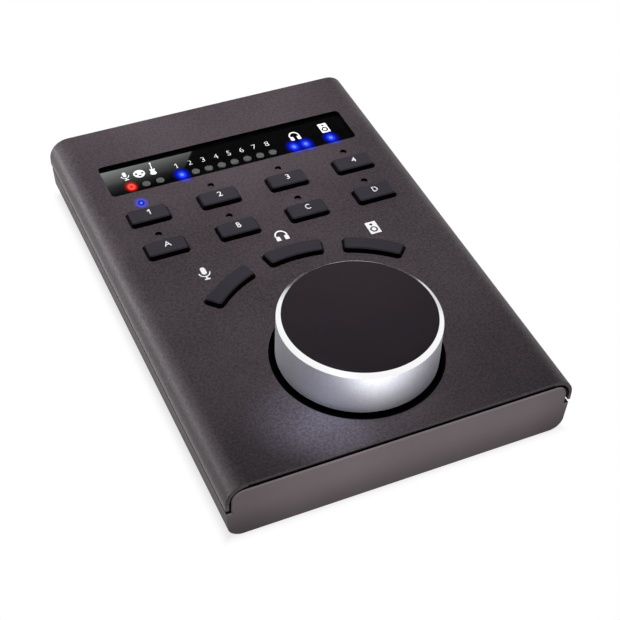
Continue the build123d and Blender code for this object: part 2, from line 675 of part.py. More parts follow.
nodes = {
    "lower_housing": make_lower_housing(),
    "top_cover": make_top_cover(),
    "display_lens": make_display_lens(),
    "lens_tape": make_lens_tape(),
    "display_baffle": make_display_baffle(),
    "dot_diffuser_red": make_dots(INPUT_DOT_X[:1]),
    "dot_diffusers_blue": make_dots([level_dots[0], *OUTPUT_DOT_X]),
    "dot_diffusers_dark": make_dots([*INPUT_DOT_X[1:], *level_dots[1:]]),
    "display_leds": make_leds([(x, dot_y) for x in all_dots]),
    "lamp_pipe_lit": make_light_pipes(lamp_spots[:1]),
    "lamp_pipes_dark": make_light_pipes(lamp_spots[1:]),
    "lamp_leds": make_leds(lamp_spots),
    "switch_bodies": make_switch_bodies(),
    "main_board": make_main_board(),
    "controller_chip": make_chip(CONTROLLER_SIZE, -chip_x, knob_y + CONTROLLER_REACH),
    "memory_chip": make_chip(MEMORY_SIZE, chip_x, knob_y + CONTROLLER_REACH),
    "voltage_regulator": make_chip(REGULATOR_SIZE, REGULATOR_X, supply_y),
    "clock_crystal": make_chip(CRYSTAL_SIZE, -chip_x, knob_y + CRYSTAL_REACH),
    "supply_capacitors": make_capacitors(),
    "encoder_case": make_encoder_case(),
    "encoder_bushing": Pos(0, knob_y) * tube(
        BUSHING_RADIUS, SHAFT_RADIUS + SHAFT_CLEARANCE, encoder_z, bushing_z),
    "encoder_washer": Pos(0, knob_y) * tube(
        WASHER_RADIUS, BUSHING_RADIUS + BUSHING_CLEARANCE, well_floor_z, nut_z),
    "encoder_nut": Pos(0, knob_y) * (
        plate(hexagon(NUT_ACROSS_FLATS), nut_z, nut_z + NUT_WALL)
        - column(BUSHING_RADIUS + THREAD_CLEARANCE, nut_z, nut_z + NUT_WALL)),
    "encoder_shaft": make_encoder_shaft(),
    "encoder_rotor": Pos(0, knob_y) * tube(
        ROTOR_RADIUS, SHAFT_RADIUS + HUB_CLEARANCE, rotor_z, rotor_z + ROTOR_WALL),
    "encoder_slider": Pos(0, knob_y) * column(SLIDER_RADIUS, slider_z, rotor_z),
    "knob_shell": make_knob_shell(),
    "knob_disc": make_knob_disc(),
    "knob_hub": make_knob_hub(),
    "knob_well": make_knob_well(),
    "usb_shell": make_usb_shell(),
    "usb_tongue": make_usb_tongue(),
    "cover_posts": make_cover_posts(),
    "case_screws": make_case_screws(),
    "board_standoffs": make_board_standoffs(),
    "board_screws": make_board_screws(),
    "feet": make_feet(),
}
for name, place in key_places.items():
    nodes[f"key_{name}"] = make_key(key_outlines[name], place)
    nodes[f"plunger_{name}"] = make_plunger(place)

os.makedirs("parts", exist_ok=True)
for name, solid in nodes.items():
    export_step(solid, f"parts/{name}.step")
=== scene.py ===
"""Looks of a desktop studio monitor controller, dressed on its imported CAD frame.

Metres throughout, apart from prints and glows, whose outlines and places are in millimetres. +X
is the user's right, +Y points away from the user, +Z is up, and the feet stand on z = 0.
"""

import bpy
import numpy as np
from mathutils import Euler, Matrix, Vector


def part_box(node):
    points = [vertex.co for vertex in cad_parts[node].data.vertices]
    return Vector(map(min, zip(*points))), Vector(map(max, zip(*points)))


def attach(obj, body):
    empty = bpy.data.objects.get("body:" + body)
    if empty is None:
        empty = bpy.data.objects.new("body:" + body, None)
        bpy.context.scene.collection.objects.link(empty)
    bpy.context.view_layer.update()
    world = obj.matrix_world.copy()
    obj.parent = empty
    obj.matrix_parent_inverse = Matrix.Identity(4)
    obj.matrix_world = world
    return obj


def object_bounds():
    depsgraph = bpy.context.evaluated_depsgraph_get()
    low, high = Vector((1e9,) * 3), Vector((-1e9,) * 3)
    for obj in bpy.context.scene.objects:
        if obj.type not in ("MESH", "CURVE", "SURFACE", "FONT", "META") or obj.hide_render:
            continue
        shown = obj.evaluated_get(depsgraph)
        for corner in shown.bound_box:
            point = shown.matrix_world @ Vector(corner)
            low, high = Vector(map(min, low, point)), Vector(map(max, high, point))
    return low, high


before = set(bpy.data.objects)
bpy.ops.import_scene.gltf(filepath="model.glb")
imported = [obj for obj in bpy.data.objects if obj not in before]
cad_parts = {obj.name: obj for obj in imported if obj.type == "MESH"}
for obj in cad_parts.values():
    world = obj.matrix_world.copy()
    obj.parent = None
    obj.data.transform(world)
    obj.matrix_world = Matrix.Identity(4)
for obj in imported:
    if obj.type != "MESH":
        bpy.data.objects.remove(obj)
cad_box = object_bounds()
MM = 0.001


# ---- Lower housing ----
# An aluminium tray, pressed and milled: rounded bottom bends, a step under each skirt of the
# cover and flat end walls. It is blasted and anodised a satin warm grey, with painted shade low
# down and towards the ends. Its lips and the tops of its end walls are painted black that
# reflects nothing, as painted shade in the gap under the cover.

class Wire:
    """One output socket of a node; an expression on it adds Math nodes to the same tree."""

    def __init__(self, net, socket):
        self.net = net
        self.socket = socket

    def __add__(self, other):
        return self.net.math("ADD", self, other)

    def __radd__(self, other):
        return self.net.math("ADD", other, self)

    def __sub__(self, other):
        return self.net.math("SUBTRACT", self, other)

    def __rsub__(self, other):
        return self.net.math("SUBTRACT", other, self)

    def __mul__(self, other):
        return self.net.math("MULTIPLY", self, other)

    def __rmul__(self, other):
        return self.net.math("MULTIPLY", other, self)

    def __pow__(self, other):
        return self.net.math("POWER", self, other)

    def __abs__(self):
        return self.net.math("ABSOLUTE", self)

    def step(self, low, high):
        """0 below low, 1 above high, and a smooth rise between them."""
        return self.net.node("MapRange", {"interpolation_type": "SMOOTHSTEP"}, {
            "Value": self, "From Min": low, "From Max": high})


class Net:
    """A node tree that nodes are added to one at a time."""

    def __init__(self, tree):
        self.tree = tree

    def plug(self, entry, value):
        """Links a Wire to a socket, or writes a plain value on it."""
        if isinstance(value, Wire):
            self.tree.links.new(value.socket, entry)
        else:
            entry.default_value = value

    def node(self, kind, settings=None, sockets=None, output=0):
        """Adds a node: its settings first, then its sockets, and gives back one output."""
        node = self.tree.nodes.new("ShaderNode" + kind)
        for key, value in (settings or {}).items():
            setattr(node, key, value)
        for key, value in (sockets or {}).items():
            self.plug(node.inputs[key], value)
        return Wire(self, node.outputs[output])

    def math(self, operation, *values):
        """A Math node on Wires or numbers."""
        return self.node("Math", {"operation": operation}, dict(enumerate(values)))

    def place(self):
        """Where a point of the piece is, in metres."""
        return self.node("TexCoord", output="Object")

    def axis(self, name, vector=None):
        """One coordinate of a vector, or else of the place."""
        return self.node("SeparateXYZ", sockets={"Vector": vector or self.place()}, output=name)

    def facing_up(self):
        """1 where the surface faces up, 0 where it is upright and -1 where it faces down."""
        return self.axis("Z", self.node("NewGeometry", output="Normal"))

    def noise(self, size, detail=2.0):
        """Noise from 0 to 1 whose spots are about size metres across."""
        return self.node("TexNoise", sockets={
            "Vector": self.place(), "Scale": 1.0 / size, "Detail": detail})

    def blend(self, factor, first, second):
        """Colour that goes from first to second as factor goes from 0 to 1."""
        return self.node("Mix", {"data_type": "RGBA"}, {
            "Factor": factor, 6: first, 7: second}, output=2)


class Surface(Net):
    """A material round one Principled BSDF."""

    def __init__(self, name, **constants):
        self.material = bpy.data.materials.new(name)
        self.material.use_nodes = True
        super().__init__(self.material.node_tree)
        self.shader = self.tree.nodes["Principled BSDF"]
        for key, value in constants.items():
            self.set(key.replace("_", " "), value)

    def set(self, socket, value):
        """Links or writes one socket of the shader."""
        self.plug(self.shader.inputs[socket], value)


class Finish(Surface):
    """A surface with fine grain in its colour, gloss and height.

    The colour varies by spread with a mottle: mostly the grains, and for the rest patches that
    are PATCH times as wide.
    """
    DETAIL = 3.0
    PATCH = 40.0
    GRAIN_SHARE, PATCH_SHARE = 0.7, 0.3
    MOTTLE_SPAN = (0.3, 0.7)
    ROUGHNESS_SWING = 0.12

    def __init__(self, name, color, roughness, grain=0.3 * MM, depth=0.005 * MM, spread=0.1,
                 **constants):
        super().__init__(name, **constants)
        self.grains = self.noise(grain, self.DETAIL)
        mottle = (self.GRAIN_SHARE * self.grains
                  + self.PATCH_SHARE * self.noise(self.PATCH * grain))
        self.color = self.blend(mottle.step(*self.MOTTLE_SPAN),
                                shade(color, 1 - spread), shade(color, 1 + spread))
        self.set("Base Color", self.color)
        self.set("Roughness", roughness + self.ROUGHNESS_SWING * (self.grains - 0.5))
        self.set("Normal", self.node("Bump", sockets={"Height": self.grains, "Distance": depth}))

    def recolor(self, mask, color):
        """Another colour wherever mask is 1."""
        self.color = self.blend(mask, self.color, (*color, 1.0))
        self.set("Base Color", self.color)

    def paint_shade_black(self, mask):
        """Painted shade: black that reflects nothing wherever mask is 1, as a black metal mirrors
        only black.
        """
        self.recolor(mask, LIGHTLESS)
        metal = self.shader.inputs["Metallic"].default_value
        self.set("Metallic", metal + (1.0 - metal) * mask)

    def wear(self, *nodes):
        """Gives the finish to every material slot of the named CAD nodes."""
        for node in nodes:
            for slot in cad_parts[node].material_slots:
                slot.material = self.material


def shade(color, share):
    """A colour made lighter or darker by a share, with its alpha."""
    return (*[min(1.0, part * share) for part in color], 1.0)


LIGHTLESS = (0.0015, 0.0015, 0.0015)
EDGE_BLUR = 0.1 * MM             # width of the change from one finish to another
HOUSING_GREY = (0.222, 0.186, 0.199)
HOUSING_SHADE = (0.085, 0.070, 0.076)
HOUSING_STEP = 10.95 * MM
HOUSING_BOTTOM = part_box("lower_housing")[0][2]
END_FACE_EDGE = 73.45 * MM       # where the flat end faces begin, from the middle

# Painted shade: the lightness goes from dark at 0 to grey at 1. It rises over the bottom edge and
# up the wall, and falls from its palest place towards both side bends, so the tray is painted
# darker low down and towards its ends.
EDGE_RISE, EDGE_HEIGHT = 0.3, 0.8 * MM
WALL_RISE, WALL_HEIGHT = 0.7, 15 * MM
SIDE_FALL, SIDE_SPAN = 0.35, (30 * MM, 52 * MM)
PALEST_X = 3 * MM

housing = Finish("housing_anodised", HOUSING_GREY, roughness=0.36, grain=0.22 * MM,
                 depth=0.006 * MM, spread=0.07, Metallic=0.85, Specular_Tint=(0.5, 0.5, 0.5, 1.0))
z = housing.axis("Z")
painted_lightness = (EDGE_RISE * z.step(HOUSING_BOTTOM, HOUSING_BOTTOM + EDGE_HEIGHT)
        + WALL_RISE * z.step(0.0, WALL_HEIGHT)
        - SIDE_FALL * abs(housing.axis("X") - PALEST_X).step(*SIDE_SPAN))
housing.recolor(1.0 - painted_lightness, HOUSING_SHADE)
# Painted shade: the lips and the tops of the end walls are black that reflects nothing.
above_step = z.step(HOUSING_STEP, HOUSING_STEP + EDGE_BLUR)
end_face = abs(housing.axis("Y")).step(END_FACE_EDGE - EDGE_BLUR / 2, END_FACE_EDGE)
housing.paint_shade_black(above_step * (1.0 - end_face))
housing.wear("lower_housing")


# ---- Circuit board and what it carries ----
# A green glass-fibre board hung under the cover on hexagonal spacers. Its chips are moulded
# black, the crystal and the capacitors have metal cans, and the key switches stand in rows.

WEAVE_TURN = 9000.0              # radians of the glass weave per metre
WEAVE_DEPTH = 0.02 * MM
board = Finish("board_solder_mask", color=(0.013, 0.092, 0.037), roughness=0.3, grain=4 * MM,
               spread=0.2, Coat_Weight=0.3)
warp = board.math("SINE", board.axis("X") * WEAVE_TURN)
weft = board.math("SINE", board.axis("Y") * WEAVE_TURN)
board.set("Normal", board.node("Bump", sockets={"Height": warp * weft, "Distance": WEAVE_DEPTH}))
board.wear("main_board")

moulded = Finish("moulded_black", color=(0.012, 0.012, 0.013), roughness=0.55, grain=0.2 * MM,
                 depth=0.01 * MM)
moulded.wear("controller_chip", "memory_chip", "voltage_regulator", "switch_bodies", "usb_tongue")

plated = Finish("plated_steel", color=(0.62, 0.61, 0.58), roughness=0.28, grain=0.4 * MM,
                depth=0.004 * MM, spread=0.05, Metallic=1.0)
plated.wear("clock_crystal", "usb_shell")

can = Finish("capacitor_can", color=(0.5, 0.52, 0.57), roughness=0.35, grain=0.5 * MM,
             depth=0.006 * MM, spread=0.06, Metallic=1.0)
can.wear("supply_capacitors")

led_body = Finish("led_moulding", color=(0.72, 0.7, 0.6), roughness=0.35)
led_body.wear("display_leds", "lamp_leds")

turned = Finish("turned_spacers", color=(0.5, 0.5, 0.5), roughness=0.3, spread=0.06, Metallic=1.0)
turned.wear("board_standoffs", "cover_posts")


# ---- Display behind its window ----
# A black baffle with a square channel for each indicator, milky diffusers in their tops, and a
# smoked acrylic window taped under the cover. The symbols and figures are printed on its face,
# and each lit indicator glows through it in a soft round patch.

baffle = Finish("baffle_black", color=(0.004, 0.004, 0.004), roughness=0.8, depth=0.01 * MM,
                Specular_IOR_Level=0.1)
baffle.wear("display_baffle", "lens_tape")

unlit = Finish("diffuser_unlit", color=(0.8, 0.8, 0.8), roughness=0.5, grain=0.5 * MM,
               spread=0.06)
unlit.wear("dot_diffusers_dark")

BLUE = (0.005, 0.02, 1.0)
RED = (1.0, 0.015, 0.01)
DIMMEST = 0.8
for name, color, nodes in (("diffuser_blue", BLUE, ("dot_diffusers_blue", "lamp_pipe_lit")),
                           ("diffuser_red", RED, ("dot_diffuser_red",))):
    lit = Finish(name, color, roughness=0.4, grain=0.8 * MM, Emission_Strength=1.0)
    lit.set("Emission Color", lit.blend(
        lit.grains.step(*Finish.MOTTLE_SPAN), shade(color, DIMMEST), shade(color, 1.0)))
    lit.wear(*nodes)

# The smoke is thinner over the row of dots than behind the symbols. Only the window's top face
# shows it: the lower face, which lies on the tape, is left clear.
LENS_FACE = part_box("display_lens")[1][2]
THIN_SMOKE, SMOKE_RISE = 0.65, 0.35
SMOKE_SPAN = (46.8 * MM, 49.4 * MM)
GLOSS, GLOSS_SWING = 0.01, 0.02
window = Finish("window_smoked", color=(0.001, 0.001, 0.0012), roughness=GLOSS, grain=3 * MM,
                depth=0.0003 * MM, spread=0.4, Specular_IOR_Level=0.5)
window.set("Roughness", GLOSS + GLOSS_SWING * window.grains)
smoke = THIN_SMOKE + SMOKE_RISE * window.axis("Y").step(*SMOKE_SPAN)
top_face = window.axis("Z").step(LENS_FACE - 2 * EDGE_BLUR, LENS_FACE - EDGE_BLUR)
window.set("Alpha", smoke * top_face)
window.wear("display_lens")

PRINT_WALL = 0.02 * MM
PRINT_GAP = 0.004 * MM
LOOP_POINTS, ARC_POINTS = 40, 32
white_print = Finish("print_white", color=(0.93, 0.93, 0.93), roughness=0.5, grain=0.4 * MM,
                     depth=0.003 * MM, spread=0.04)


def circle(x, y, radius):
    """Loop of points at one distance from (x, y)."""
    turn = np.linspace(0, 2 * np.pi, LOOP_POINTS, endpoint=False)
    return np.stack([x + radius * np.cos(turn), y + radius * np.sin(turn)], axis=1)


def arc_band(x, y, outer, inner, start, end, tall=1.0):
    """Loop round a ring sector: out along the outer arc and back along the inner one.

    Both arcs are stretched by tall along y.
    """
    turn = np.radians(np.linspace(start, end, ARC_POINTS))
    there = np.stack([x + outer * np.cos(turn), y + outer * tall * np.sin(turn)], axis=1)
    back = np.stack([x + inner * np.cos(turn), y + inner * tall * np.sin(turn)], axis=1)
    return np.concatenate([there, back[::-1]])


def rounded(x, y, width, height, radius):
    """Rectangle about (x, y) whose corners are quarter circles.

    A point is a corner's middle plus radius times a direction. The directions start just past
    0, so that none lies on an axis and belongs to no corner.
    """
    just_past = 1e-3
    turn = np.radians(np.linspace(0, 360, LOOP_POINTS, endpoint=False) + just_past)
    across = np.sign(np.cos(turn)) * (width / 2 - radius) + radius * np.cos(turn)
    along = np.sign(np.sin(turn)) * (height / 2 - radius) + radius * np.sin(turn)
    return np.stack([x + across, y + along], axis=1)


def mirrored(half):
    """Closed outline from its right half, drawn upwards from the middle line."""
    half = np.array(half)
    return np.concatenate([half, half[::-1] * (-1, 1)])


def as_mesh(name, data):
    """A curve or text turned into a mesh."""
    holder = bpy.data.objects.new(name, data)
    bpy.context.collection.objects.link(holder)
    bpy.context.view_layer.update()
    mesh = bpy.data.meshes.new_from_object(
        holder.evaluated_get(bpy.context.evaluated_depsgraph_get()))
    bpy.data.objects.remove(holder)
    mesh.name = name
    return mesh


def flat_shape(name, loops):
    """Mesh of a thin print from closed loops; a loop inside another cuts it."""
    curve = bpy.data.curves.new(name, "CURVE")
    curve.dimensions = "2D"
    curve.fill_mode = "BOTH"
    curve.extrude = PRINT_WALL / 2 / MM
    for loop in loops:
        spline = curve.splines.new("POLY")
        spline.points.add(len(loop) - 1)
        points = np.zeros((len(loop), 4))
        points[:, :2] = loop
        points[:, 3] = 1.0
        spline.points.foreach_set("co", points.ravel())
        spline.use_cyclic_u = True
    return as_mesh(name, curve)


def letter(name, text, weight):
    """Mesh of one figure or letter, centred, one high, its strokes widened by weight.

    The figure 1 is an outline of its own, a plain stem with a slanting flag.
    """
    if text == "1":
        plain_stroke = 0.15
        stroke = plain_stroke + 2 * weight
        return flat_shape(name, [np.array([
            (0.5 * stroke, -0.5), (0.5 * stroke, 0.5), (-0.3 * stroke, 0.5), (-0.3, 0.3),
            (-0.3, 0.3 - stroke), (-0.5 * stroke, 0.42 - stroke), (-0.5 * stroke, -0.5)])])
    font = bpy.data.curves.new(name, "FONT")
    font.body = text
    font.extrude = PRINT_WALL / 2 / MM
    font.offset = weight
    mesh = as_mesh(name, font)
    points = np.empty(len(mesh.vertices) * 3)
    mesh.vertices.foreach_get("co", points)
    points = points.reshape(-1, 3)
    low, high = points.min(axis=0), points.max(axis=0)
    points[:, :2] = (points[:, :2] - (low[:2] + high[:2]) / 2) / (high[1] - low[1])
    mesh.vertices.foreach_set("co", points.ravel())
    return mesh


def lay_on(mesh, x, y, face, finish, body, width=1.0, height=1.0, turn=0.0):
    """Lays a print on a level face, its middle at (x, y) in millimetres."""
    place = Matrix.Translation((x * MM, y * MM, face + PRINT_WALL / 2 + PRINT_GAP))
    mesh.transform(place @ Matrix.Rotation(np.radians(turn), 4, "Z") @ Matrix.Diagonal(
        (width * MM, height * MM, MM, 1.0)))
    mesh.materials.clear()
    mesh.materials.append(finish.material)
    piece = bpy.data.objects.new(mesh.name, mesh)
    bpy.context.collection.objects.link(piece)
    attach(piece, body)


def microphone():
    """Capsule, a half ring under it, then stem and foot in one outline."""
    stem = mirrored([(0, -2.62), (0.85, -2.62), (0.85, -2.2), (0.28, -2.0), (0.2, -1.4),
                     (0, -1.4)])
    return [rounded(0, 1.12, 1.5, 3.0, 0.74), arc_band(0, 0.38, 1.78, 1.42, 180, 360), stem]


def headphones():
    """Open band, higher than it is wide, over two upright ear pads."""
    pads = [rounded(side * 1.3, -1.25, 1.3, 1.9, 0.35) for side in (1, -1)]
    return [arc_band(0, -0.28, 2.0, 1.55, 0, 180, 1.2), *pads]


def loudspeaker():
    """Cabinet with a small hole above and a ring round its cone."""
    return [rounded(0, 0, 3.4, 5.15, 0.25), circle(0, 1.45, 0.47), circle(0, -0.7, 1.18),
            circle(0, -0.7, 0.68)]


def three_pin():
    """Disc of a round connector with its three contacts cut out."""
    return [circle(0, 0, 1.8), circle(-0.98, 0.1, 0.42), circle(0.98, 0.1, 0.42),
            circle(0, -0.95, 0.42)]


def guitar():
    """Waisted body with two horns, slim neck and head in one outline."""
    return [mirrored([
        (0, -2.9), (0.55, -2.85), (0.95, -2.5), (1.0, -2.1), (0.85, -1.7), (0.62, -1.35),
        (0.62, -1.05), (0.78, -0.7), (0.88, -0.35), (0.78, -0.05), (0.5, -0.1), (0.36, -0.45),
        (0.2, -0.45), (0.13, 2.2), (0.3, 2.35), (0.27, 2.85), (0, 2.95)])]


for name, loops, x, y, width, height, turn in (
        ("lens_microphone", microphone(), -33.1, 50.7, 0.74, 0.74, 0.0),
        ("lens_three_pin", three_pin(), -28.7, 50.4, 1.0, 1.0, 0.0),
        ("lens_guitar", guitar(), -24.35, 51.3, 1.0, 1.0, -5.0),
        ("lens_headphones", headphones(), 22.6, 50.2, 0.88, 0.95, 0.0),
        ("lens_loudspeaker", loudspeaker(), 33.0, 50.5, 0.87, 0.91, 0.0)):
    lay_on(flat_shape(name, loops), x, y, LENS_FACE, white_print, "case",
           width, height, turn)

LEVEL_COUNT = 8
LEVEL_START, LEVEL_PITCH, LEVEL_ROW = -16.85, 4.26, 49.75
LEVEL_SIZE, LEVEL_WEIGHT = 2.1, -0.02
for index in range(LEVEL_COUNT):
    lay_on(letter(f"lens_figure_{index + 1}", str(index + 1), LEVEL_WEIGHT),
           LEVEL_START + LEVEL_PITCH * index, LEVEL_ROW, LENS_FACE,
           white_print, "case", LEVEL_SIZE, LEVEL_SIZE)


def patch(name, x, y, radius, face, start=0.0, end=360.0, wide=1.0):
    """Round patch or half patch on a level face, as rings about (x, y).

    A point is (wide * r * cos a, r * sin a); u carries r / radius, from 0 in the middle to 1.
    """
    rings, spokes, innermost = 14, 48, 0.02
    whole = end - start == 360.0
    columns = spokes if whole else spokes + 1
    share, turn = np.meshgrid(
        np.linspace(innermost, 1, rings),
        np.radians(np.linspace(start, end, spokes + 1)[:columns]), indexing="ij")
    points = np.stack([
        (x + wide * radius * share * np.cos(turn)) * MM,
        (y + radius * share * np.sin(turn)) * MM,
        np.full_like(share, face)], axis=-1).reshape(-1, 3)
    r, a = np.meshgrid(np.arange(rings - 1), np.arange(spokes), indexing="ij")
    after = (a + 1) % columns
    faces = np.stack([r * columns + a, (r + 1) * columns + a, (r + 1) * columns + after,
                      r * columns + after], axis=-1).reshape(-1, 4)
    mesh = bpy.data.meshes.new(name)
    mesh.from_pydata(points.tolist(), [], [*faces.tolist(), list(range(columns))])
    corner = np.empty(len(mesh.loops), dtype=np.int32)
    mesh.loops.foreach_get("vertex_index", corner)
    uv = np.stack([share.ravel()[corner], np.zeros(len(corner))], axis=1)
    mesh.uv_layers.new(name="spread").data.foreach_set("uv", uv.ravel())
    piece = bpy.data.objects.new(name, mesh)
    bpy.context.collection.objects.link(piece)
    return piece


BLACK = (0.0, 0.0, 0.0, 1.0)
CORE_BLUR, RING_BLUR = 0.4, 0.25


def glow(piece, core, ring, halo, core_edge, ring_edge, gain, power):
    """Light that shows on a patch: core, ring and halo colours, and an alpha that fades.

    The core ends at core_edge and the ring at ring_edge, as shares of the radius, each blurred
    by a share of that edge to both sides. Alpha is gain * (1 - u) ** power, at most 1.
    """
    finish = Surface(piece.name, Base_Color=BLACK, Roughness=1.0, Specular_IOR_Level=0.0,
                     Emission_Strength=1.0)
    away = finish.axis("X", finish.node("UVMap", {"uv_map": "spread"}))
    inner = finish.blend(
        away.step(core_edge * (1 - CORE_BLUR), core_edge * (1 + CORE_BLUR)),
        (*core, 1.0), (*ring, 1.0))
    finish.set("Emission Color", finish.blend(
        away.step(ring_edge * (1 - RING_BLUR), ring_edge * (1 + RING_BLUR)),
        inner, (*halo, 1.0)))
    finish.set("Alpha", finish.math("MINIMUM", gain * (1.0 - away) ** power, 1.0))
    piece.data.materials.append(finish.material)
    finish.material.cycles.emission_sampling = "NONE"
    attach(piece, "case")


# Each glow lies a little higher than the last, because neighbours overlap.
GLOW_GAP = 0.03 * MM
BLUE_DOT_X = {"level": -16.8, "left": 20.4, "right": 24.4, "output": 33.0}
for index, (name, x) in enumerate(BLUE_DOT_X.items()):
    glow(patch(f"glow_{name}", x, y=45.2, radius=4.1,
               face=LENS_FACE + GLOW_GAP + index * PRINT_GAP, wide=0.78),
         core=(0.2, 0.3, 1.0), ring=(0.02, 0.06, 1.0), halo=BLUE,
         core_edge=0.17, ring_edge=0.4, gain=2.0, power=2.1)
glow(patch("glow_input", x=-32.9, y=45.4, radius=3.0, face=LENS_FACE + GLOW_GAP, wide=0.8),
     core=(1.0, 0.02, 0.015), ring=(1.0, 0.13, 0.1), halo=(1.0, 0.01, 0.005),
     core_edge=0.26, ring_edge=0.5, gain=2.6, power=2.0)


# ---- Top cover ----
# One sheet of aluminium bent down along both long sides, every opening punched through. Its dark
# grey textured coating has a metallic fleck, with a painted highlight along the skirts' lower
# edges. Painted shade blackens the cut edges and the lower part of each end edge, and three
# symbols are printed in white.

COVER_GREY = (0.066, 0.052, 0.060)
SKIRT_HIGHLIGHT = (0.190, 0.165, 0.178)
SKIRT_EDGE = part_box("top_cover")[0][2]
COVER_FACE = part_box("top_cover")[1][2]
SKIRT_FADE = 3 * MM
BEND_EDGE = 44.0 * MM            # where the flat top ends and the bends begin
END_BAND = 72.5 * MM             # where the narrow band along each end begins
UNSHADED_EDGE_DEPTH = 0.5 * MM
CUT_SPAN = (0.4, 0.6)
FLECK, FLECK_DETAIL = 0.4 * MM, 4.0
COVER_ROUGHNESS, FLECK_SWING = 0.5, 0.4
cover = Finish("cover_textured", COVER_GREY, roughness=COVER_ROUGHNESS, grain=0.7 * MM,
               depth=0.035 * MM, spread=0.45, Metallic=0.2)
flecks = cover.noise(FLECK, FLECK_DETAIL)
cover.set("Roughness", COVER_ROUGHNESS + FLECK_SWING * (flecks - 0.5))
# Painted highlight: the skirts are painted lighter towards their lower edges.
cover.recolor(1.0 - cover.axis("Z").step(SKIRT_EDGE, SKIRT_EDGE + SKIRT_FADE), SKIRT_HIGHLIGHT)
# Painted shade: on the flat part the cut edges, and each end's edge face below its top half
# millimetre, are black that reflects nothing.
flat_part = 1.0 - abs(cover.axis("X")).step(BEND_EDGE - EDGE_BLUR, BEND_EDGE)
end_band = abs(cover.axis("Y")).step(END_BAND - EDGE_BLUR, END_BAND)
edge_face_shade = 1.0 - cover.axis("Z").step(
    COVER_FACE - UNSHADED_EDGE_DEPTH - EDGE_BLUR, COVER_FACE - UNSHADED_EDGE_DEPTH)
cut_edge = 1.0 - abs(cover.facing_up()).step(*CUT_SPAN)
cover.paint_shade_black(flat_part * (cut_edge * (1.0 - end_band) + end_band * edge_face_shade))
cover.wear("top_cover", "lamp_pipes_dark")

for name, loops, x, y in (("cover_microphone", microphone(), -26.65, 0.5),
                          ("cover_headphones", headphones(), -0.3, 7.4),
                          ("cover_loudspeaker", loudspeaker(), 26.1, 0.55)):
    lay_on(flat_shape(name, loops), x, y, COVER_FACE, white_print, "case")

# Each blue dot also lights the cover a little, just this side of the window, as a painted glow.
WINDOW_EDGE = 41.5
for name, x in BLUE_DOT_X.items():
    glow(patch(f"spill_{name}", x, y=WINDOW_EDGE, radius=2.0, face=COVER_FACE + PRINT_GAP,
               start=180.0, end=360.0, wide=1.5),
         core=(0.1, 0.1, 1.0), ring=(0.09, 0.08, 0.9), halo=(0.06, 0.05, 0.7),
         core_edge=0.3, ring_edge=0.6, gain=0.8, power=1.7)


# ---- Keys ----
# Eleven moulded satin black caps with drafted sides, each guided by its hole in the cover.
# The eight square ones carry a figure or letter in light grey, a little off their middles.

def middle(low, high):
    """Middle of a box in plan, in millimetres."""
    return (low[0] + high[0]) / 2 / MM, (low[1] + high[1]) / 2 / MM


KEY_TOP_SPAN = (0.6, 0.97)
LEGEND_HEIGHT, LEGEND_WIDTH, NARROW_LEGEND_WIDTH = 2.15, 2.15, 1.8
LEGEND_WEIGHT = 0.01
LEGEND_RIGHT, LEGEND_UP = 0.4, 0.5
legend_print = Finish("print_legend", color=(0.8, 0.8, 0.8), roughness=0.5, grain=0.4 * MM,
                      depth=0.003 * MM, spread=0.04)
key_cap = Finish("key_satin", color=(0.035, 0.031, 0.040), roughness=0.45, grain=0.25 * MM,
                 depth=0.008 * MM, Specular_IOR_Level=0.2)
# Painted shade: the sides of each cap and the rounded edges round its top are black that reflects
# nothing.
key_cap.paint_shade_black(1.0 - key_cap.facing_up().step(*KEY_TOP_SPAN))
for name in ("1", "2", "3", "4", "a", "b", "c", "d", "microphone", "headphones", "speaker"):
    key_cap.wear(f"key_{name}")
    moulded.wear(f"plunger_{name}")
    if len(name) == 1:
        low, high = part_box(f"key_{name}")
        x, y = middle(low, high)
        width = LEGEND_WIDTH if name in "1234a" else NARROW_LEGEND_WIDTH
        lay_on(letter(f"legend_{name}", name.upper(), LEGEND_WEIGHT),
               x + LEGEND_RIGHT, y + LEGEND_UP, high[2],
               legend_print, f"button_{name}", width, LEGEND_HEIGHT)


# ---- Lamp above the first key ----
# A square clear bar stands in a round hole of the cover. The light of its LED comes up the bar,
# fills the hole and spills over the cover, painted as a glowing patch.

x, y = middle(*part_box("lamp_pipe_lit"))
glow(patch("glow_lamp", x, y, radius=3.1, face=COVER_FACE + PRINT_GAP, wide=0.82),
     core=(0.12, 0.3, 1.0), ring=(0.01, 0.015, 0.55), halo=(0.15, 0.15, 1.0),
     core_edge=0.16, ring_edge=0.42, gain=1.9, power=1.7)


# ---- Well and encoder ----
# A black moulded dish lines the round hole under the knob, and the encoder's threaded bushing
# comes up through it with a washer and a nut.

# The dish is black, and its black that reflects nothing also paints the shade in the gap round the
# knob.
well = Finish("well_black_shade", LIGHTLESS, roughness=0.7, depth=0.01 * MM, Metallic=1.0)
well.wear("knob_well", "knob_hub")
plated.wear("encoder_case", "encoder_bushing", "encoder_washer", "encoder_nut", "encoder_shaft")
moulded.wear("encoder_rotor", "encoder_slider")


# ---- Knob ----
# A turned aluminium shell, blasted and anodised silver round its side, with a bevel polished
# after that and a dark satin disc let into its top.

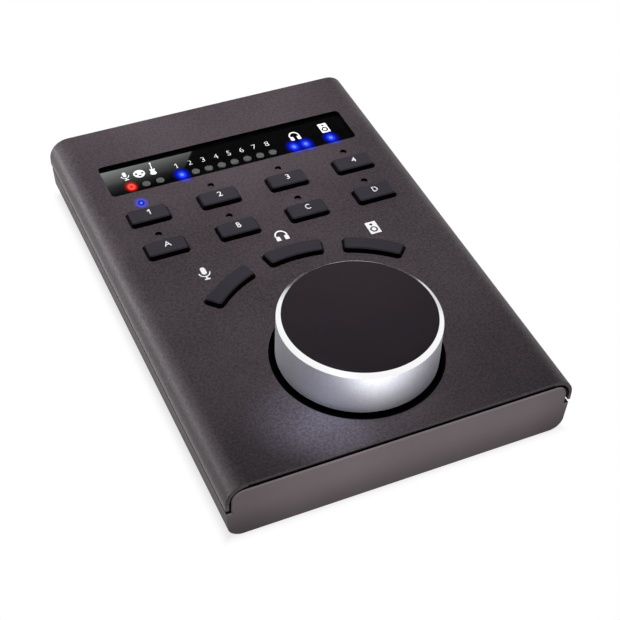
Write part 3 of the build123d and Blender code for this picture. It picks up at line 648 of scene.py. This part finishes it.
KNOB_SILVER = (0.74, 0.74, 0.81)
BEVEL_SILVER = (0.93, 0.93, 0.94)
BEVEL_SPAN = (0.2, 0.4)
SIDE_ROUGHNESS, SIDE_SWING, BEVEL_ROUGHNESS = 0.46, 0.1, 0.15
knob = Finish("knob_anodised", KNOB_SILVER, roughness=SIDE_ROUGHNESS, grain=0.5 * MM,
              depth=0.006 * MM, spread=0.06, Metallic=1.0)
bevel = knob.facing_up().step(*BEVEL_SPAN)
knob.recolor(bevel, BEVEL_SILVER)
side_roughness = SIDE_ROUGHNESS + SIDE_SWING * (knob.grains - 0.5)
knob.set("Roughness", side_roughness * (1.0 - bevel) + BEVEL_ROUGHNESS * bevel)
knob.wear("knob_shell")

disc = Finish("disc_dark", color=(0.030, 0.023, 0.029), roughness=0.5, spread=0.06,
              Specular_IOR_Level=0.15)
disc.wear("knob_disc")


# ---- Fixings and feet ----
# Black zinc-plated screws hold the board to its spacers, and others come up from below into the
# case's posts. Four rubber pads keep the case off the table.

screw = Finish("screw_black_zinc", color=(0.09, 0.09, 0.095), roughness=0.35, Metallic=0.9)
screw.wear("case_screws", "board_screws")
foot = Finish("foot_rubber", color=(0.02, 0.02, 0.02), roughness=0.8, grain=0.4 * MM,
              depth=0.03 * MM, Specular_IOR_Level=0.2)
foot.wear("feet")


# ---- Table and studio ----
# A plain white table in a white studio, with painted shade close about the case, in which the
# table's real shadow also shows. A black flag hangs where the flat top would mirror the studio,
# and a graded white card shows in one end of the window.

def staged(name, points, finish):
    """Flat four-cornered piece of the studio."""
    mesh = bpy.data.meshes.new(name)
    mesh.from_pydata(points, [], [(0, 1, 2, 3)])
    mesh.materials.append(finish.material)
    finish.material.cycles.emission_sampling = "NONE"
    piece = bpy.data.objects.new(name, mesh)
    bpy.context.collection.objects.link(piece)
    return piece


# The table's white is its own light, seen by the camera and in reflections. The rest of it is a
# lit pale surface, which takes the case's shadow.
WHITE = (1.0, 1.0, 1.0, 1.0)
FLOOR_REACH = 3.0
# Painted shade: close about the case the camera sees less of the table's own light, so the table
# is darker there and its lit surface's real shadow shows.
PAINTED_SHADE_WHITE, PAINTED_SHADE_SPAN = 0.7, (-3 * MM, 1.5 * MM)
MIRRORED_WHITE = 0.65
floor = Finish("floor_pale", color=(0.9, 0.9, 0.9), roughness=0.9, grain=5 * MM,
               depth=0.01 * MM, spread=0.01, Specular_IOR_Level=0.0)
beside = abs(floor.axis("X")) - cad_box[1][0]
before = abs(floor.axis("Y")) - cad_box[1][1]
clear = floor.math("MAXIMUM", before, beside).step(*PAINTED_SHADE_SPAN)
seen = floor.node("LightPath", output="Is Camera Ray")
mirrored_in = floor.node("LightPath", output="Is Glossy Ray")
white_share = (PAINTED_SHADE_WHITE + (1.0 - PAINTED_SHADE_WHITE) * clear) * seen + MIRRORED_WHITE * mirrored_in
floor.plug(floor.tree.nodes["Material Output"].inputs["Surface"], floor.node(
    "MixShader", sockets={0: white_share, 1: Wire(floor, floor.shader.outputs[0]),
                          2: floor.node("Emission", sockets={"Color": WHITE})}))
staged("floor", [(-FLOOR_REACH, -FLOOR_REACH, 0), (FLOOR_REACH, -FLOOR_REACH, 0),
                 (FLOOR_REACH, FLOOR_REACH, 0), (-FLOOR_REACH, FLOOR_REACH, 0)], floor)

# The card's light is MARK_LEVEL at its mark, rises away from the user and falls to the right.
CARD_WHITE = (0.94, 1.0, 0.96, 1.0)
CARD_LEFT, CARD_NEAR, CARD_FAR, CARD_HEIGHT = 0.04, 0.36, 0.4, 0.3
CARD_NEAR_RIGHT, CARD_FAR_RIGHT = 0.0891, 0.1179
MARK_X, MARK_Y, MARK_LEVEL = 0.053, 0.3893, 0.557
RISE_AWAY, FALL_RIGHT, CARD_CONTRAST = 18.94, 2.76, 2.2
card = Surface("card_graded", Base_Color=BLACK, Roughness=1.0, Specular_IOR_Level=0.0,
               Emission_Strength=15.0)
level = (MARK_LEVEL + RISE_AWAY * (card.axis("Y") - MARK_Y)
         - FALL_RIGHT * (card.axis("X") - MARK_X))
grade = card.math("MAXIMUM", level, 0.0) ** CARD_CONTRAST
card.set("Emission Color", card.blend(grade, BLACK, CARD_WHITE))
graded_card = staged("card", [
    (CARD_LEFT, CARD_NEAR, CARD_HEIGHT), (CARD_NEAR_RIGHT, CARD_NEAR, CARD_HEIGHT),
    (CARD_FAR_RIGHT, CARD_FAR, CARD_HEIGHT), (CARD_LEFT, CARD_FAR, CARD_HEIGHT)], card)
graded_card.visible_camera = False
graded_card.visible_diffuse = False
graded_card.visible_shadow = False
graded_card.visible_transmission = False

# The studio is white to the camera, AMBIENT as a light, and white in mirrors except at the flag,
# whose depth is over 1, so that it takes most of AMBIENT from the mirror image too.
AMBIENT = 0.2
FLAG = Vector((0.3, 0.66, 0.69)).normalized()
FLAG_SPAN, FLAG_DEPTH = (0.72, 0.9), 1.2
world = bpy.data.worlds.new("studio")
bpy.context.scene.world = world
world.use_nodes = True
world.cycles.sampling_method = "NONE"
studio = Net(world.node_tree)
toward_flag = studio.node("VectorMath", {"operation": "DOT_PRODUCT"}, {
    0: studio.node("TexCoord", output="Generated"), 1: FLAG}, output="Value")
mirrored_in = studio.node("LightPath", output="Is Glossy Ray")
seen = studio.node("LightPath", output="Is Camera Ray")
unflagged = 1.0 - FLAG_DEPTH * toward_flag.step(*FLAG_SPAN)
background = world.node_tree.nodes["Background"]
studio.plug(background.inputs["Color"], WHITE)
studio.plug(background.inputs["Strength"],
            seen + (1.0 - seen) * (AMBIENT + (1.0 - AMBIENT) * mirrored_in * unflagged))


# ---- Lamps and camera ----
# Soft spots hang over the middle of the case and over its far end, two narrow cool ones lay a
# sheen on the front of the cover, one from the front left catches the knob, and a low softbox
# stands behind at the left. The camera is a long lens at the front left.

def aim(name, lamp, place, target):
    """Hangs a lamp at a place, facing target."""
    holder = bpy.data.objects.new(name, lamp)
    holder.location = place
    holder.rotation_euler = (Vector(target) - Vector(place)).to_track_quat("-Z", "Y").to_euler()
    holder.visible_camera = False
    bpy.context.collection.objects.link(holder)
    return holder


def spot(name, energy, angle, place, target, color=(1.0, 1.0, 1.0), radius=0.05):
    """Round lamp whose cone of light fades all the way out from its middle."""
    lamp = bpy.data.lights.new(name, "SPOT")
    lamp.energy = energy
    lamp.color = color
    lamp.spot_size = np.radians(angle)
    lamp.spot_blend = 1.0
    lamp.shadow_soft_size = radius
    return aim(name, lamp, place, target)


def softbox(name, energy, width, height, place, target):
    """Flat rectangular lamp."""
    lamp = bpy.data.lights.new(name, "AREA")
    lamp.shape = "RECTANGLE"
    lamp.size = width
    lamp.size_y = height
    lamp.energy = energy
    return aim(name, lamp, place, target)


overhead = spot("overhead", energy=14.0, angle=24.5, place=(0.0, 0.06, 0.62),
                target=(0.006, 0.04, 0.02))
overhead.visible_glossy = False
crown = spot("crown", energy=14.0, angle=11.0, place=(0.0, 0.16, 0.55),
             target=(0.0, 0.096, 0.021))
crown.visible_glossy = False

COOL = (0.7, 0.8, 1.0)
SNOOT_PLACE = (-0.14, -0.16, 0.5)
spot("snoot_left", energy=10.0, angle=3.0, place=SNOOT_PLACE, target=(-0.025, -0.0585, 0.021),
     color=COOL, radius=0.004)
spot("snoot_right", energy=12.0, angle=3.0, place=SNOOT_PLACE, target=(-0.0175, -0.066, 0.021),
     color=COOL, radius=0.004)
spot("kicker", energy=86.0, angle=4.0, place=(-0.135, -0.65, 0.05), target=(0.0, -0.066, 0.048),
     radius=0.012)
softbox("left_box", energy=2.2, width=0.4, height=0.14, place=(-0.65, 0.6, 0.06),
        target=(0.0, 0.0, 0.01))

camera_data = bpy.data.cameras.new("camera")
camera_data.lens = 85.0
camera_data.sensor_width = 36.0
camera = bpy.data.objects.new("camera", camera_data)
camera.location = (-0.13111, -0.28283, 0.30352)
camera.rotation_euler = Euler(np.radians((45.495, -1.961, -24.035)), "XYZ")
bpy.context.collection.objects.link(camera)
bpy.context.scene.camera = camera
bpy.context.scene.view_settings.view_transform = "Standard"
